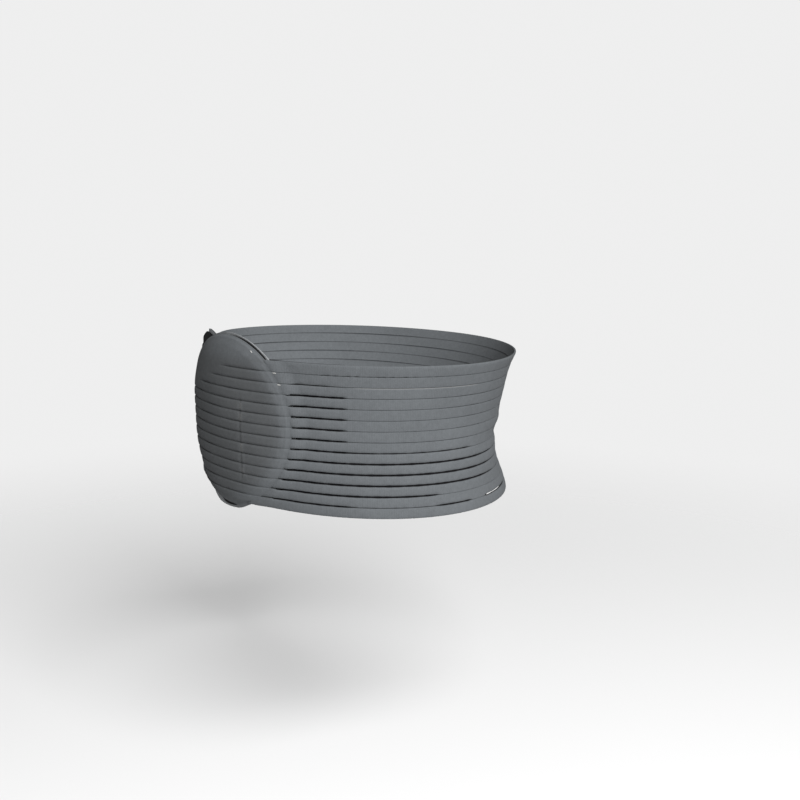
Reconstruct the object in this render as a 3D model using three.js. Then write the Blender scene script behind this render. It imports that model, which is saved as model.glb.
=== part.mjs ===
// A hernia belt, closed round the waist: a ribbed, slotted elastic band whose padded front panel lies on the
// belt's own under-end. Millimetres, +Z up. The wearer's front is -Y and the wearer's left is +X.
// The origin is the middle of the waist opening, halfway up the band.
import * as THREE from 'three';

// The waist inside the band, at its narrowest height.
const waistWidth = 351;
const waistDepth = 276;

// The band and its strips.
const bandHeight = 140;
const stripCount = 14;
const slitHeight = 1.2;
const bandWall = 2;
const stripCrown = 0.7;
const bridgeWidth = 4;
const slotLength = 92;
const slotFacets = 4;

// How the band follows the body: it flares up and down from a pinch, most at the back.
const pinchShare = 0.57;
const topFlare = 27;
const topFlareCurve = 1.6;
const bottomFlare = 12;
const bottomFlareCurve = 2;

// The front panel: its cover, core and backing.
const panelWidth = 166;
const domeRise = 19.3;
const chinDrop = 4.7;
const coverWall = 2;
const ribCrown = 1;
const coreWall = 1.6;
const coreCrown = 6;
const crownFullness = 0.8;
const coreMargin = -2;
const coreShift = -3;
const coreFacets = 12;
const backingWall = 1.4;
const backingMargin = 2;
const panelFacets = 16;
const sheetRows = 12;

// Rows of the cover above its first groove and below its last one, as shares of the way to its outline.
const domeRows = [1, 0.96, 0.84, 0.64, 0.35];
const chinRows = [0.35, 0.75, 1];

// The under-end, and the seam where it joins the band beside the panel.
const underEndWall = 1.4;
const underEndBeyondPanel = 50;
const seamBeyondPanel = 12;
const underEndFacets = 24;
const underEndRows = 8;

// Clearance between layers, and the lengths over which the band climbs onto the panel and sinks to the seam.
const layerGap = 0.4;
const climbLength = 16;
const sinkLength = 24;

// Dents in the worn belt. Angles are in degrees from the front, positive to the wearer's left. Depths are
// shares of the deepest dent, heights and height spans shares of the band's height. A depth below zero is a
// bump.
const deepestDent = 10;
const dents = [
  { name: 'fold at the back', depth: 0.32, angle: 132, angleSpan: 44, height: 0.45, heightSpan: 0.1 },
  { name: 'hollow under that fold', depth: 0.51, angle: 132, angleSpan: 44, height: 0.3, heightSpan: 0.27 },
  { name: 'pull of the top edge', depth: 0.56, angle: 130, angleSpan: 50, height: 1, heightSpan: 0.33 },
  { name: 'hollow over the hip', depth: 0.8, angle: -54, angleSpan: 44, height: 1.1, heightSpan: 0.6 },
  { name: 'top of the right flank', depth: 1, angle: -52, angleSpan: 32, height: 1.05, heightSpan: 0.42 },
  { name: 'hollow at the groin', depth: 0.5, angle: -46, angleSpan: 44, height: 0, heightSpan: 0.42 },
  { name: 'free side of the panel', depth: -0.2, angle: -34, angleSpan: 36, height: 0.85, heightSpan: 0.4 },
  { name: 'soft dip under the ribs', depth: 0.2, angle: 62, angleSpan: 40, height: 0.95, heightSpan: 0.35 },
];

// Worked out from the sizes above.
const halfBand = bandHeight / 2;
const pitch = bandHeight / stripCount;
const panelHeight = bandHeight + domeRise + chinDrop;
const panelCentre = (domeRise - chinDrop) / 2;
const backingOuter = backingWall;
const coreInner = backingOuter + layerGap;
const coverInner = coreInner + coreWall + layerGap;
const underEndOuter = -layerGap;
const underEndInner = underEndOuter - underEndWall;
const underEndLeft = panelWidth / 2 + underEndBeyondPanel;
const seamArc = panelWidth / 2 + seamBeyondPanel;

const smooth = (share) => {
  const held = THREE.MathUtils.clamp(share, 0, 1);
  return held * held * (3 - 2 * held);
};

// One at the centre of a dent and zero at its edge.
const hump = (distance, span) => Math.cos(Math.min(Math.abs(distance / span), 1) * Math.PI / 2) ** 2;

// How finely the oval is measured, and the width below which a row of a sheet is a single point.
const arcSteps = 1440;
const poleWidth = 1e-6;

// The waist is an oval. The table gives the angle at each length along it, from the back round to the back.
const ovalPoint = (angle) => new THREE.Vector2(
  waistWidth / 2 * Math.sin(angle),
  -waistDepth / 2 * Math.cos(angle),
);
const arcTable = (() => {
  const steps = arcSteps;
  const rows = [{ angle: -Math.PI, arc: 0 }];
  for (let step = 1; step <= steps; step += 1) {
    const angle = -Math.PI + 2 * Math.PI * step / steps;
    const last = rows[step - 1];
    rows.push({ angle, arc: last.arc + ovalPoint(angle).distanceTo(ovalPoint(last.angle)) });
  }
  return rows;
})();
const girth = arcTable.at(-1).arc;

// The angle round the waist at an arc length from the front, positive to the wearer's left.
function angleAt(arc) {
  const turned = ((arc + girth / 2) % girth + girth) % girth;
  let low = 0;
  let high = arcTable.length - 1;
  while (high - low > 1) {
    const middle = (low + high) >> 1;
    if (arcTable[middle].arc > turned) high = middle;
    else low = middle;
  }
  const share = (turned - arcTable[low].arc) / (arcTable[high].arc - arcTable[low].arc);
  return THREE.MathUtils.lerp(arcTable[low].angle, arcTable[high].angle, share);
}

// How far the body pushes the belt out of the plain oval, less its dents.
function bodyOffset(angle, height) {
  const share = (height + halfBand) / bandHeight;
  const above = Math.max(0, (share - pinchShare) / (1 - pinchShare));
  const below = Math.max(0, (pinchShare - share) / pinchShare);
  const towardsBack = (1 - Math.cos(angle)) / 2;
  let offset = (topFlare * above ** topFlareCurve + bottomFlare * below ** bottomFlareCurve) * towardsBack;
  for (const dent of dents) {
    const degrees = THREE.MathUtils.radToDeg(angle) - dent.angle;
    const turned = degrees > 180 ? degrees - 360 : degrees < -180 ? degrees + 360 : degrees;
    offset -= deepestDent * dent.depth * hump(turned, dent.angleSpan) * hump(share - dent.height, dent.heightSpan);
  }
  return offset;
}

// A point of the belt: its length along the waist, its height, and how far outside the body line it lies.
function onWaist(arc, height, off) {
  const angle = angleAt(arc);
  const point = ovalPoint(angle);
  const outward = new THREE.Vector2(
    Math.sin(angle) / waistWidth,
    -Math.cos(angle) / waistDepth,
  ).normalize();
  point.addScaledVector(outward, off + bodyOffset(angle, height));
  return new THREE.Vector3(point.x, point.y, height);
}

// The panel's outline is an ellipse along the waist, grown by a margin for each layer.
function panelHalfWidth(height, margin = 0) {
  const share = (height - panelCentre) / (panelHeight / 2 + margin);
  return (panelWidth / 2 + margin) * Math.sqrt(Math.max(0, 1 - share * share));
}
const panelShare = (arc, height) => Math.hypot(
  arc / (panelWidth / 2),
  (height - panelCentre) / (panelHeight / 2),
);
const coreSwell = (arc, height) => coreCrown * Math.max(0, 1 - panelShare(arc, height) ** 2) ** crownFullness;

// Gathers shared corners and faces, and turns them into one closed geometry.
class Skin {
  corners = [];
  faces = [];

  corner(point) {
    this.corners.push(point.x, point.y, point.z);
    return this.corners.length / 3 - 1;
  }

  face(a, b, c) {
    if (a !== b && b !== c && c !== a) this.faces.push(a, b, c);
  }

  quad(a, b, c, d) {
    this.face(a, b, c);
    this.face(a, c, d);
  }

  geometry() {
    const built = new THREE.BufferGeometry();
    built.setAttribute('position', new THREE.Float32BufferAttribute(this.corners, 3));
    built.setIndex(this.faces);
    built.computeVertexNormals();
    return built;
  }
}

// A sheet with an outer and an inner side: heights run from the top down, arcs from the wearer's right to
// the left. A row whose ends meet is a pole, with a single corner on each side.
function sheet({ heights, facets, left, right, outer, inner }) {
  const skin = new Skin();
  const rows = heights.map((height) => {
    const from = right(height);
    const to = left(height);
    const pole = to - from < poleWidth;
    const side = (offset) => {
      const corners = [];
      for (let step = 0; step <= facets; step += 1) {
        const arc = THREE.MathUtils.lerp(from, to, step / facets);
        const shared = pole && step > 0;
        corners.push(shared ? corners[0] : skin.corner(onWaist(arc, height, offset(arc, height))));
      }
      return corners;
    };
    return { out: side(outer), in: side(inner) };
  });
  for (let row = 0; row + 1 < rows.length; row += 1) {
    const top = rows[row];
    const low = rows[row + 1];
    for (let step = 0; step < facets; step += 1) {
      skin.quad(low.out[step], low.out[step + 1], top.out[step + 1], top.out[step]);
      skin.quad(low.in[step + 1], low.in[step], top.in[step], top.in[step + 1]);
    }
    skin.quad(low.in[0], low.out[0], top.out[0], top.in[0]);
    skin.quad(low.out[facets], low.in[facets], top.in[facets], top.out[facets]);
  }
  const first = rows[0];
  const last = rows.at(-1);
  for (let step = 0; step < facets; step += 1) {
    skin.quad(first.out[step], first.out[step + 1], first.in[step + 1], first.in[step]);
    skin.quad(last.in[step], last.in[step + 1], last.out[step + 1], last.out[step]);
  }
  return skin.geometry();
}

// Heights from the top pole to the bottom pole of an oval, closer together near the poles.
function ovalHeights(rows, margin) {
  const heights = [];
  for (let row = 0; row <= rows; row += 1) {
    heights.push(panelCentre + (panelHeight / 2 + margin) * Math.cos(Math.PI * row / rows));
  }
  return heights;
}

// The cover's rows: a smooth dome, then a valley at every slit of the band and a rib's crest between two.
function coverRows() {
  const rows = [];
  const topGroove = halfBand - pitch;
  const lowGroove = -topGroove;
  for (const share of domeRows) {
    rows.push({ height: THREE.MathUtils.lerp(topGroove, panelCentre + panelHeight / 2, share), rib: 0 });
  }
  for (let slit = 1; slit < stripCount; slit += 1) {
    const height = halfBand - slit * pitch;
    rows.push({ height, rib: 0 });
    if (slit + 1 < stripCount) rows.push({ height: height - pitch / 2, rib: 1 });
  }
  for (const share of chinRows) {
    rows.push({ height: THREE.MathUtils.lerp(lowGroove, panelCentre - panelHeight / 2, share), rib: 0 });
  }
  return rows;
}

function frontPanel() {
  const rows = coverRows();
  const ribAt = new Map(rows.map((row) => [row.height, row.rib]));
  return sheet({
    heights: rows.map((row) => row.height),
    facets: panelFacets,
    left: (height) => panelHalfWidth(height),
    right: (height) => -panelHalfWidth(height),
    outer: (arc, height) => coverInner + coreSwell(arc, height) + coverWall + ribCrown * ribAt.get(height),
    inner: (arc, height) => coverInner + coreSwell(arc, height),
  });
}

function panelCore() {
  return sheet({
    heights: ovalHeights(sheetRows, coreMargin),
    facets: coreFacets,
    left: (height) => coreShift + panelHalfWidth(height, coreMargin),
    right: (height) => coreShift - panelHalfWidth(height, coreMargin),
    outer: (arc, height) => coreInner + coreWall + coreSwell(arc, height),
    inner: () => coreInner,
  });
}

function panelBacking() {
  return sheet({
    heights: ovalHeights(sheetRows, backingMargin),
    facets: panelFacets,
    left: (height) => panelHalfWidth(height, backingMargin),
    right: (height) => -panelHalfWidth(height, backingMargin),
    outer: () => backingOuter,
    inner: () => 0,
  });
}

function underEnd() {
  const heights = [];
  for (let row = 0; row <= underEndRows; row += 1) {
    heights.push(THREE.MathUtils.lerp(halfBand, -halfBand, row / underEndRows));
  }
  return sheet({
    heights,
    facets: underEndFacets,
    left: () => underEndLeft,
    right: () => -seamArc,
    outer: () => underEndOuter,
    inner: () => underEndInner,
  });
}

// The band's stations round the waist: slots with a bridge before each, the first slot over the under-end.
function bandStations() {
  const from = panelWidth / 2;
  const to = girth - seamArc - layerGap;
  const slots = [{ start: from + bridgeWidth, end: underEndLeft - bridgeWidth / 2 }];
  const rest = to - underEndLeft;
  const count = Math.max(1, Math.round(rest / slotLength));
  for (let slot = 0; slot < count; slot += 1) {
    const start = underEndLeft + rest * slot / count + bridgeWidth / 2;
    const end = underEndLeft + rest * (slot + 1) / count - bridgeWidth / 2;
    slots.push({ start, end: slot + 1 < count ? end : end - bridgeWidth / 2 });
  }
  const stations = [{ arc: from, slotAfter: false }];
  for (const slot of slots) {
    for (let facet = 0; facet <= slotFacets; facet += 1) {
      const arc = THREE.MathUtils.lerp(slot.start, slot.end, facet / slotFacets);
      stations.push({ arc, slotAfter: facet < slotFacets });
    }
  }
  stations.push({ arc: to, slotAfter: false });
  return stations;
}

// The band's end follows the panel's outline, and that shape dies out before the under-end's edge.
function bandArc(arc, height) {
  const start = panelHalfWidth(height, layerGap);
  const fade = Math.max(0, 1 - (arc - panelWidth / 2) / underEndBeyondPanel);
  return arc + (start - panelWidth / 2) * fade;
}

// The band climbs onto the panel's edge at one end, and at the other sinks to meet the under-end.
function bandInner(arc, height) {
  const beyondPanel = (panelShare(Math.min(arc, girth / 2), height) - 1) * panelWidth / 2;
  const climb = coverInner * (1 - smooth(beyondPanel / climbLength));
  const toSeam = (girth - seamArc - arc) / sinkLength;
  return climb + underEndInner * (1 - smooth(toSeam));
}

function elasticBand() {
  const skin = new Skin();
  const stations = bandStations();
  const at = (station, height, off) => {
    const arc = bandArc(station.arc, height);
    return skin.corner(onWaist(arc, height, bandInner(arc, height) + off));
  };
  const columns = stations.map((station, index) => {
    const strips = [];
    for (let strip = 0; strip < stripCount; strip += 1) {
      const top = halfBand - strip * pitch - (strip > 0 ? slitHeight / 2 : 0);
      const low = halfBand - (strip + 1) * pitch + (strip + 1 < stripCount ? slitHeight / 2 : 0);
      strips.push({
        outTop: at(station, top, bandWall),
        outCrest: at(station, (top + low) / 2, bandWall + stripCrown),
        outLow: at(station, low, bandWall),
        inTop: at(station, top, 0),
        inMiddle: index === 0 ? at(station, (top + low) / 2, 0) : null,
        inLow: at(station, low, 0),
      });
    }
    return strips;
  });
  for (let column = 0; column + 1 < stations.length; column += 1) {
    const near = columns[column];
    const far = columns[column + 1];
    for (let strip = 0; strip < stripCount; strip += 1) {
      skin.quad(near[strip].outCrest, far[strip].outCrest, far[strip].outTop, near[strip].outTop);
      skin.quad(near[strip].outLow, far[strip].outLow, far[strip].outCrest, near[strip].outCrest);
      if (column === 0) {
        skin.face(far[strip].inLow, near[strip].inLow, near[strip].inMiddle);
        skin.face(far[strip].inLow, near[strip].inMiddle, far[strip].inTop);
        skin.face(near[strip].inMiddle, near[strip].inTop, far[strip].inTop);
      } else {
        skin.quad(far[strip].inLow, near[strip].inLow, near[strip].inTop, far[strip].inTop);
      }
    }
    for (let strip = 0; strip + 1 < stripCount; strip += 1) {
      const above = strip;
      const below = strip + 1;
      if (stations[column].slotAfter) {
        skin.quad(near[above].inLow, far[above].inLow, far[above].outLow, near[above].outLow);
        skin.quad(near[below].outTop, far[below].outTop, far[below].inTop, near[below].inTop);
      } else {
        skin.quad(near[below].outTop, far[below].outTop, far[above].outLow, near[above].outLow);
        skin.quad(far[below].inTop, near[below].inTop, near[above].inLow, far[above].inLow);
      }
    }
    const lowest = stripCount - 1;
    skin.quad(near[0].outTop, far[0].outTop, far[0].inTop, near[0].inTop);
    skin.quad(near[lowest].inLow, far[lowest].inLow, far[lowest].outLow, near[lowest].outLow);
  }
  // The slots' ends, where a slot opens or closes at a station.
  for (let column = 1; column + 1 < stations.length; column += 1) {
    const opens = stations[column].slotAfter && !stations[column - 1].slotAfter;
    const closes = !stations[column].slotAfter && stations[column - 1].slotAfter;
    for (let strip = 0; strip + 1 < stripCount; strip += 1) {
      const above = columns[column][strip];
      const below = columns[column][strip + 1];
      if (opens) skin.quad(above.outLow, below.outTop, below.inTop, above.inLow);
      if (closes) skin.quad(above.inLow, below.inTop, below.outTop, above.outLow);
    }
  }
  // The band's two ends.
  const first = columns[0];
  const last = columns.at(-1);
  for (let strip = 0; strip < stripCount; strip += 1) {
    skin.quad(first[strip].inLow, first[strip].outLow, first[strip].outCrest, first[strip].inMiddle);
    skin.quad(first[strip].inMiddle, first[strip].outCrest, first[strip].outTop, first[strip].inTop);
    skin.quad(last[strip].outLow, last[strip].inLow, last[strip].inTop, last[strip].outCrest);
    skin.face(last[strip].outCrest, last[strip].inTop, last[strip].outTop);
    if (strip + 1 < stripCount) {
      skin.quad(first[strip + 1].inTop, first[strip + 1].outTop, first[strip].outLow, first[strip].inLow);
      skin.quad(last[strip + 1].outTop, last[strip + 1].inTop, last[strip].inLow, last[strip].outLow);
    }
  }
  return skin.geometry();
}

function piece(name, geometry, color, roughness) {
  const material = new THREE.MeshStandardMaterial({ color, roughness, metalness: 0 });
  const mesh = new THREE.Mesh(geometry, material);
  mesh.name = name;
  return mesh;
}

const closingPanel = new THREE.Group();
closingPanel.add(
  piece('front_panel', frontPanel(), 0x66696b, 0.85),
  piece('panel_core', panelCore(), 0x1b1b1d, 0.95),
  piece('panel_backing', panelBacking(), 0x8d8f91, 0.8),
);

const belt = new THREE.Group();
belt.add(
  piece('elastic_band', elasticBand(), 0x74787b, 0.85),
  piece('under_end', underEnd(), 0x18181a, 0.95),
  closingPanel,
);

export default belt;
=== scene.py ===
"""Looks for a hernia belt: a grey ribbed elastic band closed round the waist by a padded front panel.

Lengths are metres. An arc is a length along the waist from the middle of the front, positive to the
wearer's left, and a height is measured from halfway up the band. Off is a distance out from the body line.
"""

import bmesh
import bpy
import numpy as np
from mathutils import Matrix, Vector


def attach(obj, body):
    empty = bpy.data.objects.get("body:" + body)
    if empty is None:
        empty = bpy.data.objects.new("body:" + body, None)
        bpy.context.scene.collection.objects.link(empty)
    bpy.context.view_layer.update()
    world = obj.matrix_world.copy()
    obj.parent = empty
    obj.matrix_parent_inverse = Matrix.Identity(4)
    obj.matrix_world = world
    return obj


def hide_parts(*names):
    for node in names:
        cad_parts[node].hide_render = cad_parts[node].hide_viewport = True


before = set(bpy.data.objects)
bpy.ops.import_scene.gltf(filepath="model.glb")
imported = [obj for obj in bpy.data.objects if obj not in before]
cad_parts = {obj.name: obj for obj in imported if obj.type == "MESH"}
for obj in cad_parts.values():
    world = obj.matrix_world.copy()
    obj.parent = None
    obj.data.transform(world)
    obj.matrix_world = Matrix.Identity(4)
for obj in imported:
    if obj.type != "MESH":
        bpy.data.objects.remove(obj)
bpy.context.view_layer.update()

MM = 0.001

# The waist and the band, as in the part.
WAIST_WIDTH = 351 * MM
WAIST_DEPTH = 276 * MM
BAND_HEIGHT = 140 * MM
HALF_BAND = BAND_HEIGHT / 2
STRIPS = 14
PITCH = BAND_HEIGHT / STRIPS
BAND_WALL = 2 * MM
FACE_CROWN = 0.45 * MM
PINCH_SHARE = 0.57
TOP_FLARE = 27 * MM
TOP_FLARE_CURVE = 1.6
BOTTOM_FLARE = 12 * MM
BOTTOM_FLARE_CURVE = 2

# The panel and the under-end, as in the part.
PANEL_WIDTH = 166 * MM
HALF_PANEL = PANEL_WIDTH / 2
DOME_RISE = 19.3 * MM
CHIN_DROP = 4.7 * MM
PANEL_HEIGHT = BAND_HEIGHT + DOME_RISE + CHIN_DROP
PANEL_CENTRE = (DOME_RISE - CHIN_DROP) / 2
LAYER_GAP = 0.4 * MM
BACKING_WALL = 1.4 * MM
BACKING_MARGIN = 2 * MM
CORE_WALL = 1.6 * MM
CORE_MARGIN = -2 * MM
CORE_SHIFT = -3 * MM
COVER_WALL = 2 * MM
CORE_INNER = BACKING_WALL + LAYER_GAP
COVER_INNER = CORE_INNER + CORE_WALL + LAYER_GAP
UNDER_END_WALL = 1.4 * MM
UNDER_END_BEYOND_PANEL = 50 * MM
UNDER_END_LEFT = HALF_PANEL + UNDER_END_BEYOND_PANEL
SEAM_ARC = HALF_PANEL + 12 * MM
CLIMB_LENGTH = 16 * MM
SINK_LENGTH = 24 * MM

# Dents in the worn belt: depth, angle and half-span in degrees, height and half-span as shares. A depth
# below zero is a bump.
DENTS = [
    dict(depth=3.2 * MM, angle=132, span=44, height=0.45, rise=0.1),
    dict(depth=5.1 * MM, angle=132, span=44, height=0.3, rise=0.27),
    dict(depth=5.6 * MM, angle=130, span=50, height=1.0, rise=0.33),
    dict(depth=8 * MM, angle=-54, span=44, height=1.1, rise=0.6),
    dict(depth=10 * MM, angle=-52, span=32, height=1.05, rise=0.42),
    dict(depth=5 * MM, angle=-46, span=44, height=0.0, rise=0.42),
    dict(depth=-2 * MM, angle=-34, span=36, height=0.85, rise=0.4),
    dict(depth=2 * MM, angle=62, span=40, height=0.95, rise=0.35),
]


def smooth(share):
    """A smooth step: 0 up to 0, 1 from 1 on, and a cubic with level ends between."""
    held = np.clip(share, 0, 1)
    return held * held * (3 - 2 * held)


def window(value, start, end, soft):
    """1 between start and end and 0 outside, with soft ends that lie within them."""
    return smooth((value - start) / soft) * smooth((end - value) / soft)


def hump(distance, span):
    """The square of a cosine: 1 at the middle and 0 at the span's edge."""
    return np.cos(np.minimum(np.abs(distance / span), 1) * np.pi / 2) ** 2


def bell(distance, width):
    """A bell curve: 1 at the middle, and a little over a third at the width."""
    return np.exp(-((distance / width) ** 2))


def degrees_between(angle, other):
    """The turn from one angle to another, in degrees from -180 to 180."""
    return (angle - other + 180) % 360 - 180


def oval_table(steps=2880):
    """Angles all the way round the oval, and the length along it to each, by summing the chords."""
    angles = np.linspace(-np.pi, np.pi, steps + 1)
    x = WAIST_WIDTH / 2 * np.sin(angles)
    y = -WAIST_DEPTH / 2 * np.cos(angles)
    arcs = np.concatenate([[0], np.cumsum(np.hypot(np.diff(x), np.diff(y)))])
    return angles, arcs


ANGLES, ARCS = oval_table()
GIRTH = ARCS[-1]
BAND_END = GIRTH - SEAM_ARC - LAYER_GAP


def body_offset(angle, height):
    """How far the body pushes the belt out: a flare up and down from the pinch, growing to the back with
    one minus the cosine of the angle, less each dent's depth times a hump round and a hump up."""
    share = (height + HALF_BAND) / BAND_HEIGHT
    above = np.maximum(0, (share - PINCH_SHARE) / (1 - PINCH_SHARE))
    below = np.maximum(0, (PINCH_SHARE - share) / PINCH_SHARE)
    flare = TOP_FLARE * above**TOP_FLARE_CURVE + BOTTOM_FLARE * below**BOTTOM_FLARE_CURVE
    offset = flare * (1 - np.cos(angle)) / 2
    for dent in DENTS:
        turned = degrees_between(np.degrees(angle), dent["angle"])
        round_hump = hump(turned, dent["span"])
        offset = offset - dent["depth"] * round_hump * hump(share - dent["height"], dent["rise"])
    return offset


def on_waist(arc, height, off):
    """Points of the belt: the oval at that arc, moved along its outward normal by off plus the body's
    push."""
    arc, height, off = np.broadcast_arrays(arc, height, off)
    angle = np.interp((arc + GIRTH / 2) % GIRTH, ARCS, ANGLES)
    across = np.sin(angle) / WAIST_WIDTH
    along = -np.cos(angle) / WAIST_DEPTH
    length = np.hypot(across, along)
    push = off + body_offset(angle, height)
    x = WAIST_WIDTH / 2 * np.sin(angle) + across / length * push
    y = -WAIST_DEPTH / 2 * np.cos(angle) + along / length * push
    return np.stack([x, y, height], axis=-1)


def panel_half_width(height, margin=0.0):
    """Half the panel's width at a height: an ellipse grown by a margin."""
    share = (height - PANEL_CENTRE) / (PANEL_HEIGHT / 2 + margin)
    return (HALF_PANEL + margin) * np.sqrt(np.maximum(0, 1 - share * share))


def panel_share(arc, height):
    """0 at the panel's centre and 1 on its outline."""
    return np.hypot(arc / HALF_PANEL, (height - PANEL_CENTRE) / (PANEL_HEIGHT / 2))


# Meshes from arrays.

SHARP_ANGLE = np.radians(38)


def mesh_object(name, points, faces, cloth, marks=None):
    """One object from points, faces, the cloth's own arc and height at each point, and named marks, each a
    number at each point. Points that fall together at poles and seams are merged."""
    mesh = bpy.data.meshes.new(name)
    mesh.from_pydata(points.reshape(-1, 3).tolist(), [], faces)
    corners = np.empty(len(mesh.loops), dtype=np.int32)
    mesh.loops.foreach_get("vertex_index", corners)
    layer = mesh.uv_layers.new(name="cloth")
    layer.data.foreach_set("uv", cloth.reshape(-1, 2)[corners].ravel())
    for mark, values in (marks or {}).items():
        stored = mesh.attributes.new(mark, "FLOAT", "POINT")
        stored.data.foreach_set("value", np.ascontiguousarray(values, dtype=np.float32).ravel())
    merged = bmesh.new()
    merged.from_mesh(mesh)
    bmesh.ops.remove_doubles(merged, verts=merged.verts, dist=0.002 * MM)
    bmesh.ops.dissolve_degenerate(merged, edges=merged.edges, dist=0.001 * MM)
    merged.to_mesh(mesh)
    merged.free()
    mesh.polygons.foreach_set("use_smooth", np.ones(len(mesh.polygons), dtype=bool))
    mesh.set_sharp_from_angle(angle=SHARP_ANGLE)
    mesh.update()
    made = bpy.data.objects.new(name, mesh)
    bpy.context.scene.collection.objects.link(made)
    return made


def tube_faces(columns, ring, start=0, caps=True):
    """Quads between rings of points, one ring to a column, facing out where the columns run to the wearer's
    left and each ring runs up its outer side. A cap is one face round each end ring."""
    column, row = np.meshgrid(np.arange(columns - 1), np.arange(ring), indexing="ij")
    above = (row + 1) % ring
    near, far = column * ring, (column + 1) * ring
    quads = np.stack([near + row, far + row, far + above, near + above], axis=-1).reshape(-1, 4) + start
    faces = quads.tolist()
    if caps:
        first = np.arange(ring) + start
        faces.append(first.tolist())
        faces.append((first[::-1] + (columns - 1) * ring).tolist())
    return faces


# Where the slits between the strips stand open: the opening in millimetres at arcs in millimetres.
SLIT_TABLE = {
    1: [(76, 0.1), (100, 0.2), (112, 0.5), (190, 0.42), (214, 0.2), (330, 0.12)],
    2: [(78, 0.1), (84, 0.8), (118, 0.6), (134, 0.15), (330, 0.15)],
    3: [(78, 0.1), (80.5, 1.5), (130, 1.4), (136, 0.22), (215, 0.12), (250, 0.3), (300, 0.15)],
    4: [(79, 0.1), (81.5, 1.5), (130, 1.4), (136, 0.2), (215, 0.12), (250, 0.3), (300, 0.15)],
    5: [(79.5, 0.1), (82, 1.5), (130, 1.4), (136, 0.2), (215, 0.12), (262, 0.3), (300, 0.12)],
    6: [(79.5, 0.1), (82, 1.5), (130, 1.4), (136, 0.22), (215, 0.16), (262, 0.3), (275, 0.12)],
    7: [(79.5, 0.1), (82, 1.5), (130, 1.4), (136, 0.3), (215, 0.25), (250, 0.32), (262, 0.12)],
    8: [(78, 0.1), (80.5, 1.4), (130, 1.4), (150, 0.8), (200, 0.7), (250, 0.8), (260, 0.15)],
    9: [(76, 0.1), (78.5, 1.5), (132, 1.5), (260, 1.4), (300, 0.6)],
    10: [(73, 0.1), (75.5, 1.6), (132, 1.6), (260, 1.5), (304, 0.6)],
    11: [(67, 0.1), (69.5, 1.6), (132, 1.6), (260, 1.5), (300, 0.5)],
    12: [(58.5, 0.1), (61, 1.5), (132, 1.6), (210, 1.4), (222, 0.1), (330, 0.1)],
    13: [(52, 0.1), (56, 1.4), (128, 1.3), (146, 0.45), (214, 0.4), (220, 1.2), (250, 1.2),
         (256, 0.1), (272, 0.1), (279, 1.6), (322, 1.5), (332, 0.3)],
}
HIDDEN_FROM = 335 * MM
HIDDEN_SLIT = 0.5 * MM
OPEN_STRETCH = (277 * MM, 324 * MM)
# The slits that cross threads hold nearly shut, in dots, and the stretch where a pale thread shows in one.
DOTTED_SLITS = (1,)
THREAD_SLIT = 2
THREAD_STRETCH = (136 * MM, 262 * MM)


def slit_opening(slit, arc):
    """A slit's height at each arc, from the table, blending into an even opening on the hidden side and
    closing at the seam."""
    arcs, openings = (np.array(column) * MM for column in zip(*SLIT_TABLE[slit]))
    seen = np.interp(arc, arcs, openings)
    seen = seen * (1 + 0.12 * np.sin(arc * 260 + slit * 2.3) + 0.08 * np.sin(arc * 710 + slit))
    if slit in DOTTED_SLITS:
        seen = seen * (1 - 0.6 * smooth(0.5 + 0.9 * np.sin(arc * 820) * np.sin(arc * 190)))
    even = HIDDEN_SLIT * (1 + 0.25 * np.sin(arc * 31 + slit * 2.1))
    hidden = smooth((arc - HIDDEN_FROM) / (30 * MM))
    closing = smooth((BAND_END - 5 * MM - arc) / (6 * MM))
    return (seen * (1 - hidden) + even * hidden) * closing + 0.05 * MM


def slit_lap(slit, arc):
    """1 where the strip below a slit laps up behind it, and 0 where the slit is open right through: over the
    under-end, and where the lowest slit gapes."""
    lapped = window(arc, UNDER_END_LEFT - 2 * MM, BAND_END - 8 * MM, 4 * MM)
    if slit == STRIPS - 1:
        lapped = lapped * (1 - window(arc, *OPEN_STRETCH, 2 * MM))
    return lapped


def band_inner(arc, height):
    """Where the band's inner side lies: up on the panel's backing at one end, sunk to the under-end at the
    other."""
    beyond = (panel_share(np.minimum(arc, GIRTH / 2), height) - 1) * HALF_PANEL
    climb = COVER_INNER * (1 - smooth(beyond / CLIMB_LENGTH))
    to_seam = (GIRTH - SEAM_ARC - arc) / SINK_LENGTH
    sink = -(LAYER_GAP + UNDER_END_WALL) * (1 - smooth(to_seam))
    return climb + sink


EDGE_ROUND = 0.5 * MM


def rib_height(across, rounding=1.0):
    """How far a strip's face stands over its wall: a low crown, less a rounding that starts near each edge.
    Where the rounding is small, the crown is flatter too. Across runs from -1 to 1 over the strip."""
    edge = np.abs(across)
    crown = FACE_CROWN * (1 - edge**2.4 * (0.3 + 0.7 * rounding))
    return crown - EDGE_ROUND * rounding * smooth((edge - 0.78) / 0.22)


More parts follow.
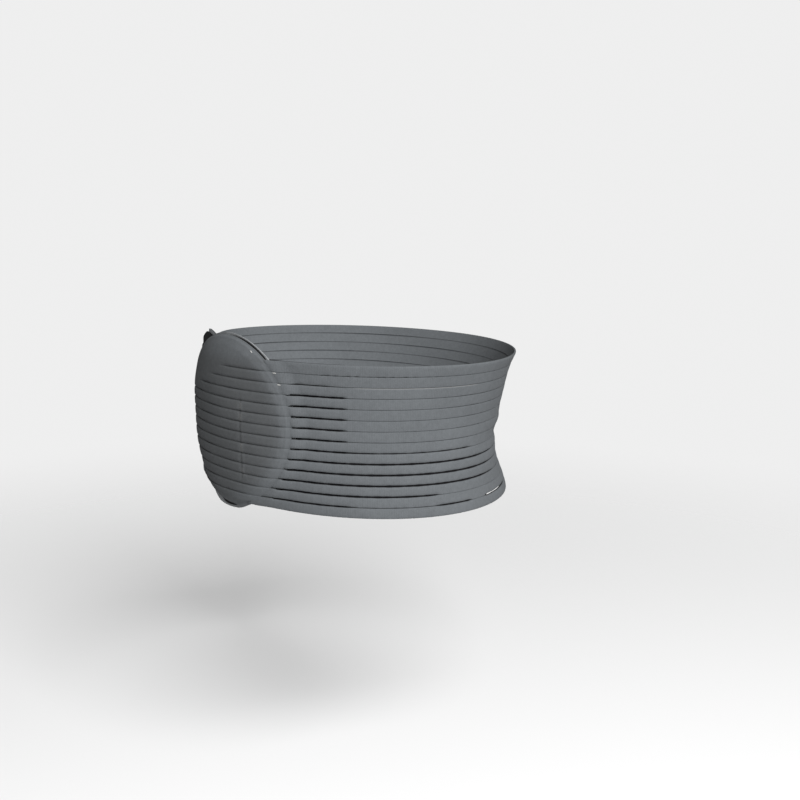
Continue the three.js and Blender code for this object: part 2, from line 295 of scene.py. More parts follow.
# A strip's section, from its lower inner corner out, up its face and back in. Rise is a share of half the
# strip's height, out a share of its wall, recess and tongue say what lifts the point, and dark how much of
# the slit's painted shade it has.
SECTION_COLUMNS = ("rise", "out", "recess", "tongue", "dark")
SECTION_ROWS = [
    (-1, 0.00, 1, 0, 0.0),
    (-1, 0.42, 1, 0, 1.0),
    (-1, 0.46, 0, 0, 1.0),
    (-1, 0.68, 0, 0, 0.7),
    (-0.975, 1, 0, 0, 0.15),
    (-0.9, 1, 0, 0, 0.0),
    (-0.7, 1, 0, 0, 0.0),
    (-0.35, 1, 0, 0, 0.0),
    (0, 1, 0, 0, 0.0),
    (0.35, 1, 0, 0, 0.0),
    (0.7, 1, 0, 0, 0.0),
    (0.9, 1, 0, 0, 0.0),
    (0.975, 1, 0, 0, 0.15),
    (1, 0.68, 0, 0, 0.7),
    (1, 0.36, 0, 0, 1.0),
    (1, 0.32, 0, 1, 1.0),
    (1, 0.06, 0, 1, 1.0),
    (1, 0.00, 0, 0, 0.0),
]
SECTION = dict(zip(SECTION_COLUMNS, np.array(SECTION_ROWS, dtype=float).T))
LAP = 0.7 * MM
RECESS = 1.0 * MM
SEEN_COLUMNS = 228
HIDDEN_COLUMNS = 152


def slit_facts(slit, arc):
    """A slit's opening, lap, painted shade and edge rounding along the band, or none at the band's own edges.
    """
    if not 0 < slit < STRIPS:
        none = np.zeros_like(arc)
        return dict(opening=none, lap=none, dark=none, rounding=none + 1, thread=none)
    opening = slit_opening(slit, arc)
    wide = smooth((opening - 0.2 * MM) / (0.7 * MM))
    thread = window(arc, *THREAD_STRETCH, 14 * MM) if slit == THREAD_SLIT else 0 * arc
    # The painted shade grows as the slit opens wider, as shade falls deeper into it.
    return dict(opening=opening, lap=slit_lap(slit, arc), dark=0.05 + 0.95 * wide - 0.05 * thread,
                rounding=0.1 + 0.9 * wide, thread=thread)


def band_mesh():
    """Fourteen strips, each a section carried round the waist from the panel's outline to the seam."""
    seen = np.linspace(HALF_PANEL, HIDDEN_FROM, SEEN_COLUMNS, endpoint=False)
    station = np.concatenate([seen, np.linspace(HIDDEN_FROM, BAND_END, HIDDEN_COLUMNS)])
    fade = np.maximum(0, 1 - (station - HALF_PANEL) / UNDER_END_BEYOND_PANEL)
    upper = SECTION["rise"] > 0
    points, faces, cloth, dark, thread = [], [], [], [], []
    for strip in range(STRIPS):
        middle = HALF_BAND - (strip + 0.5) * PITCH
        near = station + (panel_half_width(middle) - HALF_PANEL) * fade
        above, below = slit_facts(strip, near), slit_facts(strip + 1, near)
        top = middle + PITCH / 2 - above["opening"] / 2
        low = middle - PITCH / 2 + below["opening"] / 2
        height = (top + low)[:, None] / 2 + (top - low)[:, None] / 2 * SECTION["rise"]
        start = panel_half_width(height, 0.05 * MM) - HALF_PANEL
        arc = station[:, None] + start * fade[:, None]
        height = height + (RECESS * below["lap"])[:, None] * SECTION["recess"]
        height = height + ((above["opening"] + LAP) * above["lap"])[:, None] * SECTION["tongue"]
        rounding = np.where(upper, above["rounding"][:, None], below["rounding"][:, None])
        face = BAND_WALL + rib_height(SECTION["rise"], rounding)
        off = np.where(SECTION["out"] == 1, face, BAND_WALL * SECTION["out"])
        points.append(on_waist(arc, height, band_inner(arc, height) + off).reshape(-1, 3))
        faces += tube_faces(len(station), len(SECTION_ROWS), start=strip * len(station) * len(SECTION_ROWS))
        cloth.append(np.stack([arc, height], axis=-1).reshape(-1, 2))
        # Painted shade in and beside the slits, for the material.
        painted_shade = np.where(upper, above["dark"][:, None], below["dark"][:, None])
        dark.append((painted_shade * SECTION["dark"]).ravel())
        thread.append((np.where(upper, above["thread"][:, None], 0) * (SECTION["rise"] > 0.85)).ravel())
    # The slit mark holds the painted shade.
    marks = {"slit": np.concatenate(dark), "thread": np.concatenate(thread)}
    return mesh_object("elastic_band_knit", np.concatenate(points), faces, np.concatenate(cloth), marks)


# The panel: shells on its ellipse.

def ellipse_edge(turn, margin=0.0, shift=0.0, growth=()):
    """Points of the panel's ellipse at angles turned up from the wearer's left, grown by a margin and, within
    half an angle of some places, by more, with soft ends."""
    grown = margin
    for extra in growth:
        turned = degrees_between(np.degrees(turn), extra["at"])
        grown = grown + extra["by"] * window(turned, -extra["half"], extra["half"], extra["soft"])
    arc = shift + (HALF_PANEL + grown) * np.cos(turn)
    return arc, PANEL_CENTRE + (PANEL_HEIGHT / 2 + grown) * np.sin(turn)


# How far in from an edge its growth is felt.
GROWTH_REACH = 26 * MM


def panel_shell(turns, columns, outer, inner, mark=None, margin=0.0, shift=0.0, growth=()):
    """A closed sheet between two edges of the ellipse: each row joins the edge's point at a turn to the point
    across from it, closer together at both ends, out along the outer side and back along the inner one. An
    edge's growth moves the row's end, and dies out over a short reach."""
    share = (1 + np.sin(np.linspace(-1, 1, columns) * np.pi / 2)) / 2
    left, right = ellipse_edge(turns, margin, shift), ellipse_edge(np.pi - turns, margin, shift)
    grown_left = ellipse_edge(turns, margin, shift, growth)
    grown_right = ellipse_edge(np.pi - turns, margin, shift, growth)
    reach = np.clip(GROWTH_REACH / (left[0] - right[0] + MM), 0.1, 1)[:, None]
    by_left, by_right = smooth((share - 1 + reach) / reach), smooth((reach - share) / reach)
    arc, height = (
        r[:, None] + (l - r)[:, None] * share + (gl - l)[:, None] * by_left + (gr - r)[:, None] * by_right
        for l, r, gl, gr in zip(left, right, grown_left, grown_right)
    )
    out, into = outer(arc, height), inner(arc, height)
    ring_arc = np.concatenate([arc, arc[:, -1:], arc[:, ::-1], arc[:, :1]], axis=1)
    ring_height = np.concatenate([height, height[:, -1:], height[:, ::-1], height[:, :1]], axis=1)
    middle = (out + into) / 2
    off = np.concatenate([out, middle[:, -1:], into[:, ::-1], middle[:, :1]], axis=1)
    rows, ring = off.shape
    points = on_waist(ring_arc, ring_height, off)
    faces = tube_faces(rows, ring, caps=False)
    cloth = np.stack([ring_arc, ring_height], axis=-1)
    marks = {key: make(ring_arc, ring_height) for key, make in (mark or {}).items()}
    return points, faces, cloth, marks


RIM_RISE = 1.8 * MM
RIM_WIDTH = 11 * MM
PANEL_CROWN = 4.6 * MM
CROWN_FULLNESS = 0.8


# The sheet that the simulation blows up: its grid, and how far a point may rise.
PAD_SIDE = 44
PAD_FRAMES = 20
PAD_PRESSURE = 4.0
MAX_RISE = 16 * MM


def simulated_pad():
    """The shape that even pressure gives the padding, as a grid of numbers from 0 at the rim to 1 at the
    fullest place: a flat oval of cloth, held round its rim, after a short cloth simulation."""
    side = np.linspace(-1.04, 1.04, PAD_SIDE)
    across, up = np.meshgrid(side, side, indexing="ij")
    points = np.stack([across * HALF_PANEL, up * PANEL_HEIGHT / 2, 0 * across], axis=-1).reshape(-1, 3)
    row, column = np.meshgrid(np.arange(PAD_SIDE - 1), np.arange(PAD_SIDE - 1), indexing="ij")
    corner = (row * PAD_SIDE + column).ravel()
    faces = np.stack([corner, corner + PAD_SIDE, corner + PAD_SIDE + 1, corner + 1], axis=-1)
    mesh = bpy.data.meshes.new("pad sheet")
    mesh.from_pydata(points.tolist(), [], faces.tolist())
    sheet = bpy.data.objects.new("pad sheet", mesh)
    bpy.context.scene.collection.objects.link(sheet)
    rim = sheet.vertex_groups.new(name="rim")
    rim.add(np.flatnonzero(np.hypot(across, up).ravel() > 0.985).tolist(), 1.0, "REPLACE")
    blown = sheet.modifiers.new("pad", "CLOTH")
    blown.settings.vertex_group_mass = "rim"
    blown.settings.quality = 6
    blown.settings.use_pressure = True
    blown.settings.uniform_pressure_force = PAD_PRESSURE
    blown.settings.effector_weights.gravity = 0
    blown.collision_settings.use_collision = False
    for frame_number in range(1, PAD_FRAMES + 1):
        bpy.context.scene.frame_set(frame_number)
    shown = sheet.evaluated_get(bpy.context.evaluated_depsgraph_get()).to_mesh()
    places = np.empty(3 * len(points), dtype=np.float32)
    shown.vertices.foreach_get("co", places)
    rise = np.clip(places.reshape(PAD_SIDE, PAD_SIDE, 3)[:, :, 2].astype(float), 0, MAX_RISE)
    bpy.data.objects.remove(sheet)
    bpy.data.meshes.remove(mesh)
    bpy.context.scene.frame_set(1)
    return side, rise / rise.max()


def read_grid(side, grid, across, up):
    """A grid's value at each place, blended from its four nearest numbers."""
    def place(value):
        at = np.clip((value - side[0]) / (side[1] - side[0]), 0, len(side) - 1.001)
        return at.astype(int), at - np.floor(at)
    row, along = place(across)
    column, above = place(up)
    low = grid[row, column] * (1 - along) + grid[row + 1, column] * along
    high = grid[row, column + 1] * (1 - along) + grid[row + 1, column + 1] * along
    return low * (1 - above) + high * above


PAD = simulated_pad()


def panel_crown(arc, height):
    if PAD is None:
        return np.maximum(0, 1 - panel_share(arc, height) ** 2) ** CROWN_FULLNESS
    return read_grid(*PAD, arc / HALF_PANEL, (height - PANEL_CENTRE) / (PANEL_HEIGHT / 2))


def panel_swell(arc, height):
    """The padding under the cover: a quick rise inside the rim and a shallow crown over the whole panel."""
    rise = RIM_RISE * smooth((1 - panel_share(arc, height)) * HALF_PANEL / RIM_WIDTH)
    return rise + PANEL_CROWN * panel_crown(arc, height)


GROOVE_DEPTH = 0.95 * MM
GROOVE_WIDTH = 0.75 * MM
EDGE_DROP = 1.3 * MM
# Where each groove fades out to the wearer's right, for the top grooves, and the length it fades over.
GROOVE_STARTS = {1: -6 * MM, 2: -24 * MM, 3: -52 * MM, 4: -90 * MM}
GROOVE_FADE = 22 * MM
# How far inside the joined edge the grooves begin to deepen, and the length they deepen over.
RIM_CALM = 3 * MM
RIM_FADE = 10 * MM
# The grooves are weaker on the panel's free side, from one arc on and over a length.
FREE_SIDE_START = -66 * MM
FREE_SIDE_FADE = 46 * MM
# The ribs stand fuller towards the free side, by up to a share, from one arc on and over a length.
FULLER_START = -15 * MM
FULLER_FADE = 45 * MM
FULLER_BY = 1.8
# Painted light: the dome and the chin are painted lighter, like the band, over a height and, on the dome,
# over an arc.
DOME_TONE_START = HALF_BAND - 10 * MM
DOME_TONE_FADE = 16 * MM
DOME_TONE_LEFT = -45 * MM
DOME_TONE_REACH = 60 * MM
CHIN_TONE_START = 8 * MM - HALF_BAND
CHIN_TONE_FADE = 12 * MM
# The upright tuck across the grooves, right of the panel's middle.
TUCK = dict(arc=27.5 * MM, width=1.3 * MM, low=-48 * MM, top=36 * MM, valley=0.5 * MM, ridge=0.35 * MM)


def groove_line(height):
    """The nearest groove's number, and the distance from it."""
    phase = (HALF_BAND - height) / PITCH
    nearest = np.clip(np.round(phase), 1, STRIPS - 1)
    return nearest, np.abs(phase - nearest) * PITCH


def joined_edge(arc, height):
    """1 where the cover's edge joins the band, on the wearer's left, and 0 where it is free."""
    within = window(height, -HALF_BAND + 0.5 * MM, HALF_BAND - 0.5 * MM, 4 * MM)
    return smooth(arc / (20 * MM)) * within


def groove_strength(arc, height):
    """How deep a groove is there: fading to the wearer's right in the top grooves, and into the rim."""
    nearest, _ = groove_line(height)
    starts = np.interp(nearest, list(GROOVE_STARTS), list(GROOVE_STARTS.values()))
    from_start = smooth((arc - starts) / GROOVE_FADE)
    inside = (1 - panel_share(arc, height)) * HALF_PANEL
    rim = 1 - 0.75 * (1 - smooth((inside - RIM_CALM) / RIM_FADE)) * joined_edge(arc, height)
    free_side = 0.6 + 0.4 * smooth((arc - FREE_SIDE_START) / FREE_SIDE_FADE)
    return from_start * rim * free_side * (0.85 + 0.15 * np.sin(arc * 120 + nearest * 1.9))


def cover_outer(arc, height):
    """The cover's face: padding and wall, a rib for each strip with a narrow groove at each slit's line, a
    smooth dome and chin, edges that drop where they are free, and an upright tuck."""
    phase = (HALF_BAND - height) / PITCH
    ribbed = (phase > 0.5) & (phase < STRIPS - 0.5)
    across = np.where(ribbed, 2 * (phase - np.floor(phase)) - 1, 0)
    strength = groove_strength(arc, height)
    shown = np.where(ribbed, strength, 0)
    inside = (1 - panel_share(arc, height)) * HALF_PANEL
    joined = joined_edge(arc, height)
    fuller = 1 + FULLER_BY * smooth((FULLER_START - arc) / FULLER_FADE)
    ribs = rib_height(across, 0.35) - FACE_CROWN
    crown = FACE_CROWN + ribs * np.maximum(shown, joined * ribbed) * fuller
    groove = GROOVE_DEPTH * bell(groove_line(height)[1], GROOVE_WIDTH) * shown
    drop = EDGE_DROP * (1 - joined) * (1 - smooth(inside / (2.6 * MM)))
    line = 0.2 * MM * bell(inside - 4.5 * MM, 1.2 * MM) * joined
    along_tuck = window(height, TUCK["low"], TUCK["top"], 8 * MM)
    valley = TUCK["valley"] * bell(arc - TUCK["arc"], TUCK["width"])
    ridge = TUCK["ridge"] * bell(arc - TUCK["arc"] - 2.2 * TUCK["width"], TUCK["width"])
    uneven = 0.22 * MM * (np.sin(arc * 71 + height * 53) + np.sin(height * 97 - arc * 44 + 1.3))
    uneven = uneven * smooth(inside / (14 * MM))
    face = COVER_INNER + panel_swell(arc, height) + COVER_WALL
    return face + crown - groove - drop + line - (valley - ridge) * along_tuck + uneven


def cover_inner(arc, height):
    """The cover's hidden side, which follows the padding."""
    return COVER_INNER + panel_swell(arc, height)


def painted_groove_shade(arc, height):
    """Painted shade along the bottom of a groove, for the material, deeper beside the tuck."""
    phase = (HALF_BAND - height) / PITCH
    ribbed = (phase > 0.5) & (phase < STRIPS - 0.5)
    tuck_shadow = 1 + 0.5 * bell(arc - TUCK["arc"], 2.5 * TUCK["width"])
    # A narrow band of painted shade along each groove's line.
    thread = bell(groove_line(height)[1], 0.62 * GROOVE_WIDTH)
    return thread * groove_strength(arc, height) * ribbed * tuck_shadow


def painted_light_tone(arc, height):
    """Painted light: 1 at the edge that joins the band, where the rim turns to the light, and over the dome,
    which catches light from above, both painted in the band's lighter grey; less on the chin and at the
    dome's free side, and 0 further in."""
    inside = (1 - panel_share(arc, height)) * HALF_PANEL
    joined = (1 - smooth((inside - 1 * MM) / (22 * MM))) * joined_edge(arc, height)
    to_the_left = 0.4 + 0.7 * smooth((arc - DOME_TONE_LEFT) / DOME_TONE_REACH)
    dome = smooth((height - DOME_TONE_START) / DOME_TONE_FADE) * to_the_left
    chin = 0.5 * smooth((CHIN_TONE_START - height) / CHIN_TONE_FADE)
    return np.maximum(joined, np.maximum(dome, chin))


def painted_tuck_highlight(arc, height):
    """Painted highlight on the tuck's ridge, where it catches the light: short pale rungs between grooves."""
    on_tuck = bell(arc - TUCK["arc"] - 1.2 * TUCK["width"], 1.6 * MM)
    rungs = np.zeros_like(height)
    for middle, half in TUCK_HIGHLIGHTS:
        rungs = np.maximum(rungs, window(height, middle - half, middle + half, 1.5 * MM))
    return 0.17 * on_tuck * rungs


# Where the tuck's painted highlight lies: the middle heights and half-lengths of its rungs.
TUCK_HIGHLIGHTS = [(25 * MM, 4 * MM), (14 * MM, 4.5 * MM), (-15 * MM, 5 * MM), (-37 * MM, 3 * MM)]


def groove_rows():
    """Turns of the ellipse for the cover's rows: even steps over the dome and chin, and rows gathered at
    each groove between them."""
    across = np.array([-1, -0.95, -0.88, -0.74, -0.4, 0, 0.4, 0.74, 0.88, 0.95])
    middles = HALF_BAND - (np.arange(1, STRIPS - 1) + 0.5) * PITCH
    heights = (middles[:, None] - across * PITCH / 2)
    first, last = HALF_BAND - PITCH, -HALF_BAND + PITCH

    def turn_at(height):
        return np.arcsin((height - PANEL_CENTRE) / (PANEL_HEIGHT / 2))

    near_top = first + np.array([0.6, 0.3]) * MM
    near_low = last - np.array([0, 0.3, 0.6]) * MM
    dome = np.linspace(np.pi / 2, turn_at(first + 1.2 * MM), 30)
    chin = np.linspace(turn_at(last - 1.2 * MM), -np.pi / 2, 20)
    return np.concatenate([dome, turn_at(near_top), turn_at(heights.ravel()), turn_at(near_low), chin])


# Small pale tacks at the ends of the top grooves and near the dome's edge, pale as a painted highlight.
TACKS = [
    dict(arc=66 * MM, height=59 * MM, half=2.2 * MM, tilt=-0.05),
    dict(arc=71 * MM, height=48.6 * MM, half=1.8 * MM, tilt=-0.05),
    dict(arc=39.5 * MM, height=76.4 * MM, half=1.6 * MM, tilt=-0.6),
]


def tack_mesh(tack, steps=12, ring=8):
    """A small spindle lying on the cover: a circle carried along a line, its radius the root of one minus
    the square of the way along, so that both ends close."""
    way = np.sin(np.linspace(-1, 1, steps) * np.pi / 2)[:, None]
    turn = np.linspace(0, 2 * np.pi, ring, endpoint=False)
    radius = np.sqrt(np.maximum(0, 1 - way**2))
    arc = tack["arc"] + tack["half"] * way * np.cos(tack["tilt"]) + 0 * turn
    height = tack["height"] + tack["half"] * way * np.sin(tack["tilt"]) + 0.5 * MM * radius * np.sin(turn)
    seat = cover_outer(arc, height)
    off = seat + 0.35 * MM * radius * np.cos(turn) * -1
    return on_waist(arc, height, off), np.stack([arc, height], axis=-1)


# The chin: its lowest corner, and its free side, drawn in a little.
COVER_GROWTH = [
    dict(at=288, by=2.6 * MM, half=14, soft=11),
    dict(at=246, by=-3.8 * MM, half=30, soft=24),
]


def cover_mesh():
    """The cover with its tacks joined on."""
    marks_to_make = {"slit": painted_groove_shade, "painted_light_tone": painted_light_tone, "tack": painted_tuck_highlight}
    points, faces, cloth, marks = panel_shell(
        groove_rows(), 170, cover_outer, cover_inner, marks_to_make, growth=COVER_GROWTH)
    all_points, all_cloth = [points.reshape(-1, 3)], [cloth.reshape(-1, 2)]
    all_marks = {key: [values.ravel()] for key, values in marks.items()}
    count = len(all_points[0])
    for tack in TACKS:
        spindle, mapped = tack_mesh(tack)
        faces += [face[::-1] for face in tube_faces(*spindle.shape[:2], start=count, caps=False)]
        all_points.append(spindle.reshape(-1, 3))
        all_cloth.append(mapped.reshape(-1, 2))
        size = len(all_points[-1])
        # The tacks carry a painted highlight, by the tack mark.
        for key, value in (("slit", 0), ("painted_light_tone", 0), ("tack", 1.6)):
            all_marks[key].append(np.full(size, float(value)))
        count += size
    joined = {key: np.concatenate(values) for key, values in all_marks.items()}
    all_points, all_cloth = np.concatenate(all_points), np.concatenate(all_cloth)
    return mesh_object("front_panel_cover", all_points, faces, all_cloth, joined)


def under_end_mesh():
    """The black under-end: a sheet with rounded edges from the seam to its straight upright edge."""
    columns, rows, edge_steps = 150, 60, 4
    arc = np.linspace(-SEAM_ARC, UNDER_END_LEFT, columns)
    side = np.linspace(-1, 1, rows)
    turn = np.linspace(0, np.pi, edge_steps + 2)[1:-1]
    half = UNDER_END_WALL / 2
    face_height = side * (HALF_BAND - half)
    edge_height = HALF_BAND - half + np.sin(turn) * half
    height = np.concatenate([face_height, edge_height, face_height[::-1], -edge_height])
    middle = -LAYER_GAP - half
    edge_off = np.cos(turn) * half
    off = middle + np.concatenate([np.full(rows, half), edge_off, np.full(rows, -half), -edge_off])
    points = on_waist(arc[:, None], height[None, :], off[None, :])
    cloth = np.stack(np.broadcast_arrays(arc[:, None], height[None, :]), axis=-1)
    return mesh_object("under_end_loop", points, tube_faces(columns, len(height)), cloth)


# Finishes.

class Finish:
    """A material's node tree, with a short way to add a node and join it."""

    def __init__(self, name, roughness, sheen=0.0):
        self.material = bpy.data.materials.new(name)
        self.material.use_nodes = True
        self.tree = self.material.node_tree
        self.shader = self.tree.nodes["Principled BSDF"]
        self.shader.inputs["Roughness"].default_value = roughness
        self.shader.inputs["Sheen Weight"].default_value = sheen
        self.shader.inputs["Sheen Roughness"].default_value = 0.6
        self.shader.inputs["Specular IOR Level"].default_value = 0.1

    def node(self, kind, settings=None, **inputs):
        made = self.tree.nodes.new(kind)
        for key, value in (settings or {}).items():
            setattr(made, key, value)
        for key, value in inputs.items():
            self.feed(made, key, value)
        return made

    def feed(self, node, key, value):
        numbered = key[0] == "i" and key[1:].isdigit()
        socket = node.inputs[int(key[1:])] if numbered else node.inputs[key.replace("_", " ")]
        if isinstance(value, bpy.types.NodeSocket):
            self.tree.links.new(value, socket)
        else:
            socket.default_value = value

    def maths(self, operation, first, second=0.0, third=0.0):
        made = self.node("ShaderNodeMath", {"operation": operation}, i0=first, i1=second)
        if operation == "MULTIPLY_ADD":
            self.feed(made, "i2", third)
        return made.outputs[0]

    def mark(self, name):
        """A number stored at each point of the mesh, kept between 0 and 1."""
        read = self.node("ShaderNodeAttribute", {"attribute_name": name})
        return self.node("ShaderNodeClamp", Value=read.outputs["Fac"]).outputs[0]

    def mix(self, factor, first, second):
        made = self.node("ShaderNodeMix", {"data_type": "RGBA"}, i0=factor)
        for key, colour in (("i6", first), ("i7", second)):
            self.feed(made, key, (*colour, 1) if isinstance(colour, tuple) else colour)
        return made.outputs[2]

    def cloth(self):
        """The arc and the height of the cloth's own map."""
        mapped = self.node("ShaderNodeUVMap", {"uv_map": "cloth"})
        parts = self.node("ShaderNodeSeparateXYZ", i0=mapped.outputs[0])
        return parts.outputs[0], parts.outputs[1]

    def place(self):
        return self.node("ShaderNodeTexCoord").outputs["Object"]

    def noise(self, scale, detail=2.0, rough=0.5):
        made = self.node("ShaderNodeTexNoise", Vector=self.place(), Scale=scale, Detail=detail,
                         Roughness=rough)
        return made.outputs["Fac"]

    def wave(self, along, period):
        """A sine from 0 to 1 with that period in metres."""
        turned = self.maths("MULTIPLY", along, 2 * np.pi / period)
        return self.maths("MULTIPLY_ADD", self.maths("SINE", turned), 0.5, 0.5)

    def ramp(self, value, stops):
        made = self.node("ShaderNodeValToRGB", Fac=value)
        elements = made.color_ramp.elements
        while len(elements) < len(stops):
            elements.new(0.5)
        for element, (place, colour) in zip(elements, stops):
            element.position = place
            element.color = (*colour, 1)
        return made.outputs[0]

    def bump(self, height, strength, distance):
        made = self.node("ShaderNodeBump", Height=height, Strength=strength, Distance=distance)
        self.tree.links.new(made.outputs[0], self.shader.inputs["Normal"])
        return made

    def colour(self, value):
        self.tree.links.new(value, self.shader.inputs["Base Color"])


def tones(colour, *factors):
    """A colour at several brightnesses."""
    return [tuple(channel * factor for channel in colour) for factor in factors]


GREY_ELASTIC = (0.089, 0.0955, 0.1015)
PANEL_GREY = (0.066, 0.0695, 0.0725)
BACKING_GREY = (0.2, 0.208, 0.215)
# Pale grey for the pale thread in one slit, and for painted highlights on the tacks and the tuck.
PALE_THREAD_AND_HIGHLIGHT = (0.6, 0.59, 0.57)
# Near black for painted shade in the band's slits and the cover's grooves.
PAINTED_SHADE_BLACK = (0.004, 0.004, 0.0045)
BLACK_LOOP = (0.006, 0.006, 0.0065)


def knit_relief(made, wale, course):
    """Knitted elastic as numbers: upright wales crossed by level courses with a slight sway, and how light
    each spot is, from the loops, a fine grain, lumps and broad soft patches."""
    arc, height = made.cloth()
    swayed = made.maths("MULTIPLY_ADD", made.noise(140, 2), 1.2 * MM, arc)
    loops = made.maths("MULTIPLY", made.wave(swayed, wale), made.wave(height, course))
    grain = made.noise(1500, 2, 0.6)
    relief = made.maths("ADD", made.maths("MULTIPLY", loops, 0.7), made.maths("MULTIPLY", grain, 0.6))
    light = made.maths("MULTIPLY_ADD", loops, 0.2, made.maths("MULTIPLY", grain, 0.45))
    light = made.maths("MULTIPLY_ADD", made.noise(260, 2), 0.25, light)
    light = made.maths("MULTIPLY_ADD", made.noise(22, 2), 0.22, light)
    return relief, light


def knit_colour(made, light, colour):
    """A knit's colour from how light each spot is."""
    dark, mid, pale = tones(colour, 0.76, 1.0, 1.24)
    return made.ramp(light, [(0.3, dark), (0.54, mid), (0.78, pale)])


def band_finish():
    """Grey knitted elastic, with shade painted nearly black inside the slits."""
    made = Finish("grey knitted elastic", roughness=0.95, sheen=0.02)
    relief, light = knit_relief(made, 1.5 * MM, 0.9 * MM)
    made.bump(relief, 0.5, 0.35 * MM)
    knit = knit_colour(made, light, GREY_ELASTIC)
    threaded = made.mix(made.maths("MULTIPLY", made.mark("thread"), 0.09), knit, PALE_THREAD_AND_HIGHLIGHT)
    # Painted shade in the slits, from the slit mark.
    made.colour(made.mix(made.mark("slit"), threaded, PAINTED_SHADE_BLACK))
    return made.material


def cover_finish():
    """The panel's darker knit, painted light in the band's grey where it joins the band, painted shade in the
    grooves, and pale tacks and tuck rungs as painted highlights.
    """
    made = Finish("panel cover knit", roughness=0.95, sheen=0.02)
    relief, light = knit_relief(made, 1.3 * MM, 0.8 * MM)
    made.bump(relief, 0.45, 0.25 * MM)
    # Painted light: the cover lightened to the band's grey at its joined edge and over the dome.
    base = made.mix(made.mark("painted_light_tone"), knit_colour(made, light, PANEL_GREY),
                    knit_colour(made, light, GREY_ELASTIC))
    # Painted shade in the grooves, from the slit mark.
    shaded = made.mix(made.maths("MULTIPLY", made.mark("slit"), 0.42), base, PAINTED_SHADE_BLACK)
    # Painted highlights, pale, on the tacks and along the tuck's ridge, from the tack mark.
    tacked = made.mix(made.maths("MULTIPLY", made.mark("tack"), 0.5), shaded, PALE_THREAD_AND_HIGHLIGHT)
    made.colour(tacked)
    return made.material


def felted_finish(name, colour, roughness, scale, depth):
    """Brushed or foamed sheet: a fine crumb of noise in colour and bump."""
    made = Finish(name, roughness=roughness, sheen=0.02)
    grain = made.noise(scale, 4, 0.65)
    made.bump(grain, 0.6, depth)
    mixed = made.maths("MULTIPLY_ADD", made.noise(30, 2), 0.35, made.maths("MULTIPLY", grain, 0.65))
    dark, mid, light = tones(colour, 0.6, 1.0, 1.6)
    made.colour(made.ramp(mixed, [(0.3, dark), (0.5, mid), (0.72, light)]))
    return made.material


def finish_piece(piece, material, slot, *nodes):
    """Gives a piece its material and puts it in the place of its plain solids. The slot is not used."""
    piece.data.materials.append(material)
    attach(piece, "root")
    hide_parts(*nodes)


def plain_panel_piece(name, outer, inner, **edge):
    """A plain sheet of the panel on an even grid."""
    turns = np.linspace(np.pi / 2, -np.pi / 2, 90)
    points, faces, cloth, _ = panel_shell(turns, 90, outer, inner, **edge)
    return mesh_object(name, points, faces, cloth)


# Where the hook layer and the backing stand out past the cover: a small tab at the dome's free side, and a
# little at the chin's.
CORE_GROWTH = [
    dict(at=120, by=9.6 * MM, half=9.5, soft=6),
    dict(at=273, by=4.6 * MM, half=17, soft=12),
    # Along the dome's joined side the black core's edge is grown out past the cover as painted shade in the
    # gap between cover and backing.
    dict(at=55, by=4.3 * MM, half=52, soft=50),
]
BACKING_GROWTH = [
    dict(at=116.5, by=9 * MM, half=3.6, soft=2.8),
    dict(at=266, by=3.2 * MM, half=26, soft=16),
    dict(at=239, by=3 * MM, half=38, soft=32),
    dict(at=70, by=-0.8 * MM, half=70, soft=60),
]


band = band_mesh()
finish_piece(band, band_finish(), "grey_elastic", "elastic_band")

cover = cover_mesh()
finish_piece(cover, cover_finish(), "panel_cover", "front_panel")

core = plain_panel_piece(
    "panel_core_foam",
    lambda arc, height: CORE_INNER + CORE_WALL + panel_swell(arc, height),
    lambda arc, height: CORE_INNER + 0 * arc,
    margin=CORE_MARGIN, shift=CORE_SHIFT, growth=CORE_GROWTH,
)
finish_piece(core, felted_finish("black foam", BLACK_LOOP, 0.95, 900, 0.3 * MM), "dark_core", "panel_core")

backing = plain_panel_piece(
    "panel_backing_sheet",
    lambda arc, height: BACKING_WALL + 0 * arc,
    lambda arc, height: 0 * arc,
    margin=BACKING_MARGIN, growth=BACKING_GROWTH,
)
backing_felt = felted_finish("light backing", BACKING_GREY, 0.8, 700, 0.15 * MM)
finish_piece(backing, backing_felt, "light_backing", "panel_backing")

under_end = under_end_mesh()
loop_felt = felted_finish("black brushed loop", BLACK_LOOP, 0.95, 1200, 0.4 * MM)
finish_piece(under_end, loop_felt, "black_loop", "under_end")


# Camera, floor and light.

def place_camera():
    """The photograph's view: its bearing, distance, height, aim and lens, as fitted to the slits' lines."""
    bearing, distance, rise = np.radians(51.6), 1.05, 0.198
    aim_turn, aim_pitch, roll = np.radians(-3.18), np.radians(-10.14), np.radians(0.58)
    focal_pixels, picture = 1013, 800
    data = bpy.data.cameras.new("camera")
    data.sensor_width = 36
    data.lens = data.sensor_width * focal_pixels / picture
    made = bpy.data.objects.new("camera", data)
    bpy.context.scene.collection.objects.link(made)
    turn = bearing + aim_turn
    level = np.cos(aim_pitch)
    ahead = Vector((-np.sin(turn) * level, np.cos(turn) * level, np.sin(aim_pitch)))
    right = ahead.cross(Vector((0, 0, 1))).normalized()
    up = right.cross(ahead)
    right_rolled = np.cos(roll) * right + np.sin(roll) * up
    up_rolled = -np.sin(roll) * right + np.cos(roll) * up
    turned = Matrix((right_rolled, up_rolled, -ahead)).transposed().to_4x4()
    place = (distance * np.sin(bearing), -distance * np.cos(bearing), rise)
    made.matrix_world = Matrix.Translation(place) @ turned
    bpy.context.scene.camera = made


def area_light(name, place, size, power, colour=(1, 1, 1)):
    """A square soft light at a place, turned to the belt."""
    data = bpy.data.lights.new(name, "AREA")
    data.size = size
    data.energy = power
    data.color = colour
    made = bpy.data.objects.new(name, data)
    made.location = place
    made.rotation_euler = (-Vector(place)).to_track_quat("-Z", "Y").to_euler()
    bpy.context.scene.collection.objects.link(made)


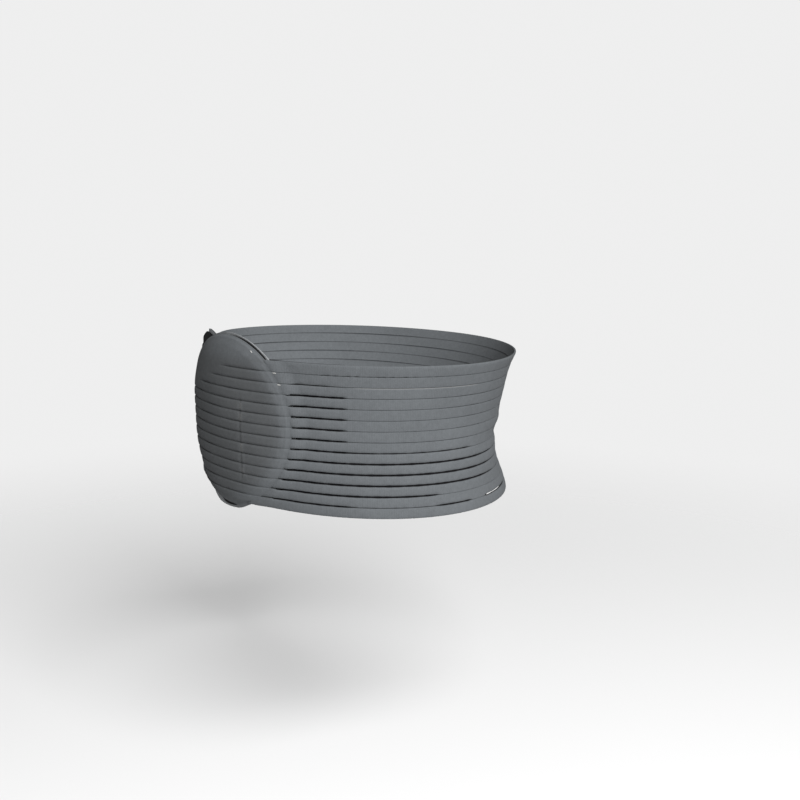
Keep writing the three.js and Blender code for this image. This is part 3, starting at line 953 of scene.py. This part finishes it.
def light_scene():
    """A plain white studio: a dim light from all round, stronger from the wearer's left, behind a pale
    backdrop, and a large soft key from the same side."""
    world = bpy.data.worlds.new("studio")
    bpy.context.scene.world = world
    world.use_nodes = True
    tree = world.node_tree
    background = tree.nodes["Background"]
    background.inputs["Color"].default_value = (1, 1, 1, 1)
    seen = tree.nodes.new("ShaderNodeLightPath").outputs["Is Camera Ray"]
    lean = tree.nodes.new("ShaderNodeVectorMath")
    lean.operation = "DOT_PRODUCT"
    tree.links.new(tree.nodes.new("ShaderNodeTexCoord").outputs["Generated"], lean.inputs[0])
    side = np.radians(LEAN_BEARING)
    lean.inputs[1].default_value = (ROUND_LEAN * np.sin(side), -ROUND_LEAN * np.cos(side), 0)
    leaning = tree.nodes.new("ShaderNodeMath")
    leaning.operation = "ADD"
    leaning.inputs[1].default_value = ROUND_LIGHT
    tree.links.new(lean.outputs["Value"], leaning.inputs[0])
    strength = tree.nodes.new("ShaderNodeMix")
    tree.links.new(seen, strength.inputs[0])
    tree.links.new(leaning.outputs[0], strength.inputs[2])
    strength.inputs[3].default_value = BACKDROP_LIGHT
    tree.links.new(strength.outputs[0], background.inputs["Strength"])
    bearing = np.radians(KEY_BEARING)
    place = (KEY_DISTANCE * np.sin(bearing), -KEY_DISTANCE * np.cos(bearing), KEY_RISE)
    area_light("key", place, KEY_SIZE, KEY_POWER)


ROUND_LIGHT = 0.198
ROUND_LEAN = 0.15
LEAN_BEARING = 50
KEY_BEARING = 71
KEY_DISTANCE = 3.4
KEY_RISE = 2.3
KEY_SIZE = 2.4
BACKDROP_LIGHT = 0.86
KEY_POWER = 345


def lay_floor():
    """A plain pale floor, well below the belt, which a waist holds up. It fades into the backdrop further
    out."""
    half, depth, sides = 4.0, -0.42, 64
    turn = np.linspace(0, 2 * np.pi, sides, endpoint=False)
    corners = np.stack([half * np.cos(turn), half * np.sin(turn), np.full(sides, depth)], axis=-1)
    mesh = bpy.data.meshes.new("floor")
    mesh.from_pydata(corners.tolist(), [], [list(range(sides))])
    made = bpy.data.objects.new("floor", mesh)
    bpy.context.scene.collection.objects.link(made)
    paint = Finish("pale floor", roughness=0.9)
    paint.shader.inputs["Base Color"].default_value = (0.8, 0.8, 0.8, 1)
    reach = paint.node("ShaderNodeVectorMath", {"operation": "LENGTH"}, i0=paint.place()).outputs["Value"]
    fade = paint.node("ShaderNodeMapRange", {"interpolation_type": "SMOOTHSTEP"}, Value=reach,
                      From_Min=0.3, From_Max=1.9, To_Min=1.0, To_Max=0.0)
    clear = paint.node("ShaderNodeBsdfTransparent")
    both = paint.node("ShaderNodeMixShader", i0=fade.outputs[0])
    paint.tree.links.new(clear.outputs[0], both.inputs[1])
    paint.tree.links.new(paint.shader.outputs[0], both.inputs[2])
    paint.tree.links.new(both.outputs[0], paint.tree.nodes["Material Output"].inputs["Surface"])
    mesh.materials.append(paint.material)


place_camera()
light_scene()
lay_floor()
bpy.context.scene.view_settings.view_transform = "Standard"
